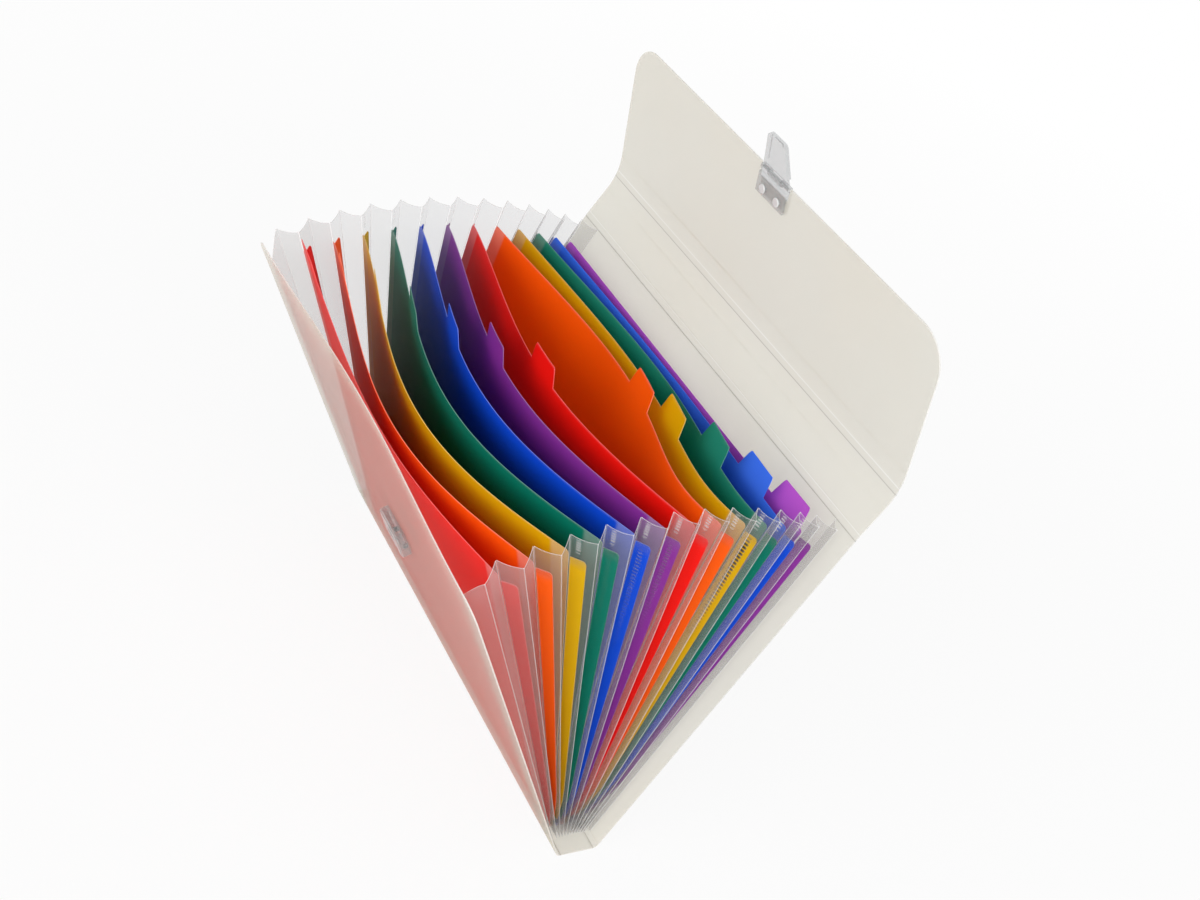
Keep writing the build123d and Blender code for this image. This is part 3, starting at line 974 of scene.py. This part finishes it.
class EXPANDING_FILE_OT_stage(bpy.types.Operator):
    """Make the pale floor, the soft lamps and the camera"""

    bl_idname = "expanding_file.stage"
    bl_label = "Make the stage"

    camera_place = (0.6368, -0.4683, 0.7102)
    camera_aim = (0.0172, 0.0328, 0.1785)
    camera_roll = math.radians(20.13)
    camera_lens = 48.81
    camera_sensor = 36.0
    lamp_aim = (0.0, 0.0, 0.15)
    floor_radius = 9.0
    floor_middle = 0.02
    floor_drop = 0.0003
    floor_rings = 24
    floor_turns = 64

    def execute(self, context):
        self.floor()
        self.light(context)
        self.camera(context)
        context.scene.view_settings.view_transform = "Standard"
        context.scene.cycles.transparent_max_bounces = 64
        context.scene.cycles.max_bounces = 16
        context.scene.cycles.transmission_bounces = 16
        context.scene.cycles.diffuse_bounces = 6
        return {"FINISHED"}

    def seen(self, tree):
        """One where a ray comes from the eye, or from it by way of gloss or glass."""
        path = add_node(tree, "ShaderNodeLightPath").outputs
        direct = combine(tree, "MAXIMUM", path["Is Camera Ray"], path["Is Glossy Ray"])
        return combine(tree, "MAXIMUM", direct, path["Is Transmission Ray"])

    def floor(self):
        """A round floor: a disc of rings, white to the eye, that keeps a faint shadow near the file."""
        turns = np.linspace(0.0, 2.0 * math.pi, self.floor_turns, endpoint=False)
        rings = np.geomspace(self.floor_middle, self.floor_radius, self.floor_rings)
        turn, ring = np.meshgrid(turns, rings)
        level = np.full_like(ring, -self.floor_drop)
        points = np.stack([ring * np.cos(turn), ring * np.sin(turn), level], axis=-1)
        rows, columns = ring.shape
        index = np.arange(rows * columns).reshape(rows, columns)
        top_highlight = np.roll(index, -1, axis=1)
        faces = np.stack([index[:-1], index[1:], top_highlight[1:], top_highlight[:-1]], axis=-1).reshape(-1, 4)
        mesh = bpy.data.meshes.new("floor")
        mesh.from_pydata(points.reshape(-1, 3).tolist(), [], [*faces.tolist(), index[0].tolist()])
        material, tree, output = new_tree("pale_floor")
        matt = add_node(tree, "ShaderNodeBsdfDiffuse", {"Color": (0.86, 0.86, 0.86, 1.0)})
        white = add_node(tree, "ShaderNodeEmission", {"Color": WHITE, "Strength": 1.0})
        place = add_node(tree, "ShaderNodeTexCoord").outputs["Object"]
        away = add_node(tree, "ShaderNodeVectorMath", {0: place}, operation="LENGTH").outputs["Value"]
        fade = map_range(tree, away, low=0.9, high=1.0, start=0.3, end=1.5)
        share = combine(tree, "MULTIPLY", self.seen(tree), fade)
        mixed = mix_shader(tree, share, matt, white)
        tree.links.new(mixed.outputs[0], output.inputs["Surface"])
        mesh.materials.append(material)
        floor = bpy.data.objects.new("floor", mesh)
        bpy.context.scene.collection.objects.link(floor)

    def light(self, context):
        """A soft sky that shows white, two wide lamps in front and to the right, and a weak one above."""
        world = bpy.data.worlds.new("studio_sky")
        world.use_nodes = True
        tree = world.node_tree
        strength = map_range(tree, self.seen(tree), low=0.34, high=1.0)
        sky = tree.nodes["Background"]
        sky.inputs["Color"].default_value = WHITE
        tree.links.new(strength, sky.inputs["Strength"])
        context.scene.world = world
        # Each lamp's name, place, width in metres and power in watts
        lamps = (
            ("front_lamp", (0.8, -3.5, 1.3), 3.0, 81.0),
            ("right_lamp", (3.3, -0.95, 1.2), 3.0, 94.0),
            ("top_lamp", (0.4, -0.1, 2.0), 1.2, 6.0),
        )
        for name, place, size, power in lamps:
            data = bpy.data.lights.new(name, "AREA")
            data.size = size
            data.energy = power
            lamp = bpy.data.objects.new(name, data)
            lamp.location = place
            aim = Vector(self.lamp_aim) - Vector(place)
            lamp.rotation_euler = aim.to_track_quat("-Z", "Y").to_euler()
            context.scene.collection.objects.link(lamp)

    def camera(self, context):
        """A camera at a place, aimed at a point and rolled about its line of sight."""
        place = Vector(self.camera_place)
        forward = (Vector(self.camera_aim) - place).normalized()
        right = forward.cross(Vector((0.0, 0.0, 1.0))).normalized()
        up = right.cross(forward)
        rolled_up = up * math.cos(self.camera_roll) - right * math.sin(self.camera_roll)
        rolled_right = forward.cross(rolled_up)
        data = bpy.data.cameras.new("camera")
        data.lens = self.camera_lens
        data.sensor_width = self.camera_sensor
        data.sensor_fit = "HORIZONTAL"
        camera = bpy.data.objects.new("camera", data)
        turn = Matrix((rolled_right, rolled_up, -forward)).transposed()
        camera.matrix_world = Matrix.Translation(place) @ turn.to_4x4()
        context.scene.collection.objects.link(camera)
        context.scene.camera = camera


class EXPANDING_FILE_PT_panel(bpy.types.Panel):
    """Lists the steps that make the expanding file"""

    bl_idname = "EXPANDING_FILE_PT_panel"
    bl_label = "Expanding file"
    bl_space_type = "VIEW_3D"
    bl_region_type = "UI"
    bl_category = "Expanding file"

    def draw(self, context):
        for step in STEPS:
            self.layout.operator(step.bl_idname)
        for group in (context.scene.expanding_file_sizes, context.scene.expanding_file_colours):
            for name in group.__annotations__:
                self.layout.prop(group, name)


STEPS = (
    EXPANDING_FILE_OT_cover,
    EXPANDING_FILE_OT_dividers,
    EXPANDING_FILE_OT_film,
    EXPANDING_FILE_OT_fittings,
    EXPANDING_FILE_OT_stage,
)
CLASSES = (ExpandingFileSizes, ExpandingFileColours, *STEPS, EXPANDING_FILE_PT_panel)


def register():
    for cls in CLASSES:
        bpy.utils.register_class(cls)
    bpy.types.Scene.expanding_file_sizes = bpy.props.PointerProperty(type=ExpandingFileSizes)
    bpy.types.Scene.expanding_file_colours = bpy.props.PointerProperty(type=ExpandingFileColours)


def unregister():
    del bpy.types.Scene.expanding_file_colours
    del bpy.types.Scene.expanding_file_sizes
    for cls in reversed(CLASSES):
        bpy.utils.unregister_class(cls)


def main():
    """Make every piece and the stage in order."""
    register()
    bpy.ops.expanding_file.cover()
    bpy.ops.expanding_file.dividers()
    bpy.ops.expanding_file.film()
    bpy.ops.expanding_file.fittings()
    bpy.ops.expanding_file.stage()


if __name__ == "__main__":
    main()
